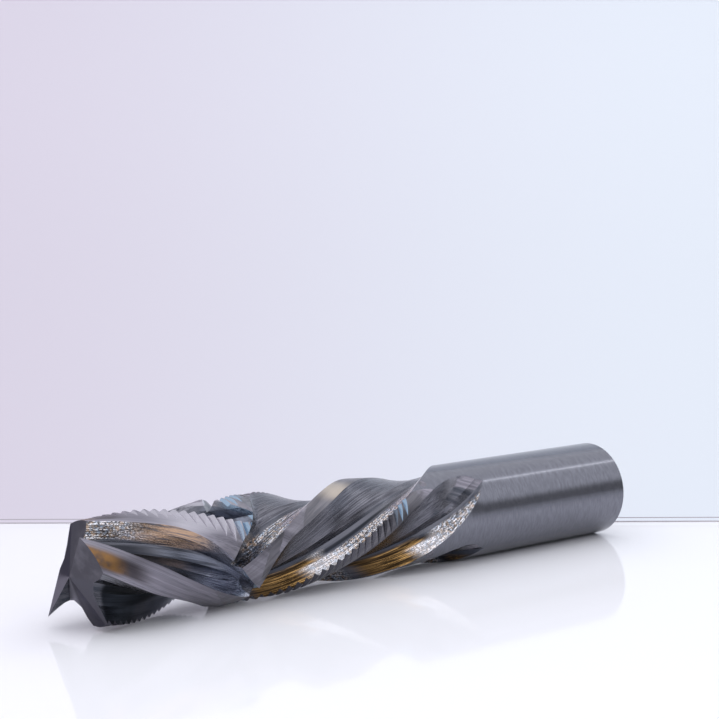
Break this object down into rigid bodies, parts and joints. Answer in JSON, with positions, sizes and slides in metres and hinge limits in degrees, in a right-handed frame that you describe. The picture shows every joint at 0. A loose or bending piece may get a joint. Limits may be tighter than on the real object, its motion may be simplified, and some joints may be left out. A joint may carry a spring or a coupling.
{
  "type": "compression router bit",
  "caption": "Solid carbide compression router bit with crossed spiral flutes, chip breaker notches on every second land and a plain round shank.",
  "frame": {"origin": "centre of the shank's end face, which is the lowest point of the standing bit", "axes": "+Z along the bit's axis towards the cutting tip; +X and +Y across it, with the first main tooth's corner 52 degrees round from +X"},
  "size_m": [0.019, 0.019, 0.127],
  "materials": {
    "carbide": "ground solid tungsten carbide, dark satin grey, with bronze heat tint in the flutes"
  },
  "bodies": {
    "root": {"router_bit": "carbide"}
  },
  "joints": []
}
